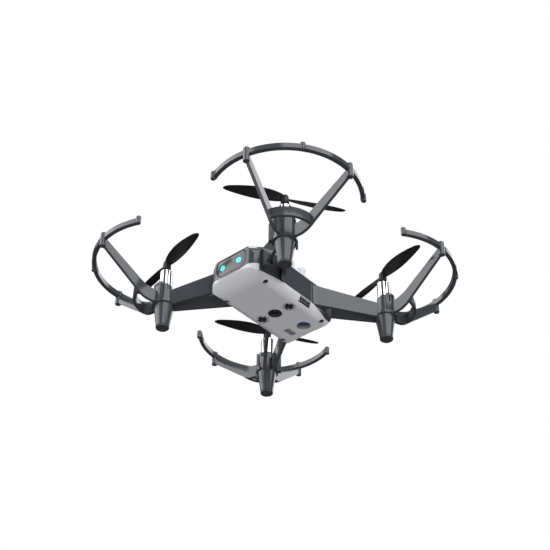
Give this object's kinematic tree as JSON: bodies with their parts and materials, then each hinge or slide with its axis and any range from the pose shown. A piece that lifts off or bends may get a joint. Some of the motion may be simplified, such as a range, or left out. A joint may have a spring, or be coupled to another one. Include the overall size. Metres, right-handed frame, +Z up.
{
  "type": "mini palm drone",
  "caption": "Palm-sized quadcopter with clip-on propeller guards, coreless motors, studded lid, belly axle sockets and lit nose panel.",
  "frame": {"origin": "on the ground midway between the four motors, below the middle of the bounding box", "axes": "+Z up, nose to -Y, the drone's left side to +X"},
  "size_m": [0.1444, 0.143, 0.0385],
  "materials": {
    "pale_grey_plastic": "satin",
    "mid_grey_plastic": "satin",
    "panel_grey_plastic": "satin",
    "dark_grey_plastic": "satin",
    "black_plastic": "satin",
    "board_green": "satin",
    "battery_wrap": "satin",
    "foot_rubber": "matte",
    "bright_can": "polished",
    "steel": "satin",
    "black_steel": "black oxide",
    "bush_brass": "turned",
    "coil_copper": "enamelled copper wire",
    "lens_glass": "coated",
    "blue_glass": "coated",
    "lit_cyan_lens": "lit"
  },
  "bodies": {
    "drone": {"bottom_shell": "pale_grey_plastic", "top_shell": "pale_grey_plastic", "front_band": "mid_grey_plastic", "face_panel": "panel_grey_plastic", "led_eyes": "lit_cyan_lens", "centre_frame": "dark_grey_plastic", "main_board": "board_green", "flow_camera": "black_plastic", "flow_lens": "lens_glass", "range_finder": "black_plastic", "range_window": "blue_glass", "height_sensor": "black_plastic", "usb_port": "steel", "battery_socket": "black_plastic", "button_board": "board_green", "shell_screws": "black_steel", "arm_front_left": "dark_grey_plastic", "foot_cap_front_left": "foot_rubber", "guard_front_left": "dark_grey_plastic", "motor_can_front_left": "bright_can", "motor_bush_front_left": "bush_brass", "motor_end_cap_front_left": "black_plastic", "arm_front_right": "dark_grey_plastic", "foot_cap_front_right": "foot_rubber", "guard_front_right": "dark_grey_plastic", "motor_can_front_right": "bright_can", "motor_bush_front_right": "bush_brass", "motor_end_cap_front_right": "black_plastic", "arm_rear_left": "dark_grey_plastic", "foot_cap_rear_left": "foot_rubber", "guard_rear_left": "dark_grey_plastic", "motor_can_rear_left": "bright_can", "motor_bush_rear_left": "bush_brass", "motor_end_cap_rear_left": "black_plastic", "arm_rear_right": "dark_grey_plastic", "foot_cap_rear_right": "foot_rubber", "guard_rear_right": "dark_grey_plastic", "motor_can_rear_right": "bright_can", "motor_bush_rear_right": "bush_brass", "motor_end_cap_rear_right": "black_plastic"},
    "battery_pack": {"battery": "battery_wrap", "battery_cap": "dark_grey_plastic"},
    "power_button": {"power_button": "mid_grey_plastic"},
    "spinner_front_left": {"propeller_front_left": "black_plastic", "motor_shaft_front_left": "steel", "motor_coil_front_left": "coil_copper"},
    "spinner_front_right": {"propeller_front_right": "black_plastic", "motor_shaft_front_right": "steel", "motor_coil_front_right": "coil_copper"},
    "spinner_rear_left": {"propeller_rear_left": "black_plastic", "motor_shaft_rear_left": "steel", "motor_coil_rear_left": "coil_copper"},
    "spinner_rear_right": {"propeller_rear_right": "black_plastic", "motor_shaft_rear_right": "steel", "motor_coil_rear_right": "coil_copper"}
  },
  "joints": [
    {"name": "propeller_spin_front_left", "type": "hinge", "parent": "drone", "child": "spinner_front_left", "pos_m": [0.0362, -0.0362, 0.036], "axis": [0, 0, 1], "continuous": true},
    {"name": "propeller_spin_front_right", "type": "hinge", "parent": "drone", "child": "spinner_front_right", "pos_m": [-0.0362, -0.0362, 0.036], "axis": [0, 0, 1], "continuous": true},
    {"name": "propeller_spin_rear_left", "type": "hinge", "parent": "drone", "child": "spinner_rear_left", "pos_m": [0.0362, 0.0362, 0.036], "axis": [0, 0, 1], "continuous": true},
    {"name": "propeller_spin_rear_right", "type": "hinge", "parent": "drone", "child": "spinner_rear_right", "pos_m": [-0.0362, 0.0362, 0.036], "axis": [0, 0, 1], "continuous": true},
    {"name": "battery_slide", "type": "slide", "parent": "drone", "child": "battery_pack", "axis": [0, 1, 0], "range_m": [0, 0.04]},
    {"name": "power_button_press", "type": "slide", "parent": "drone", "child": "power_button", "axis": [0, 0, -1], "range_m": [0, 0.0006], "stiffness_N_per_m": 400}
  ]
}
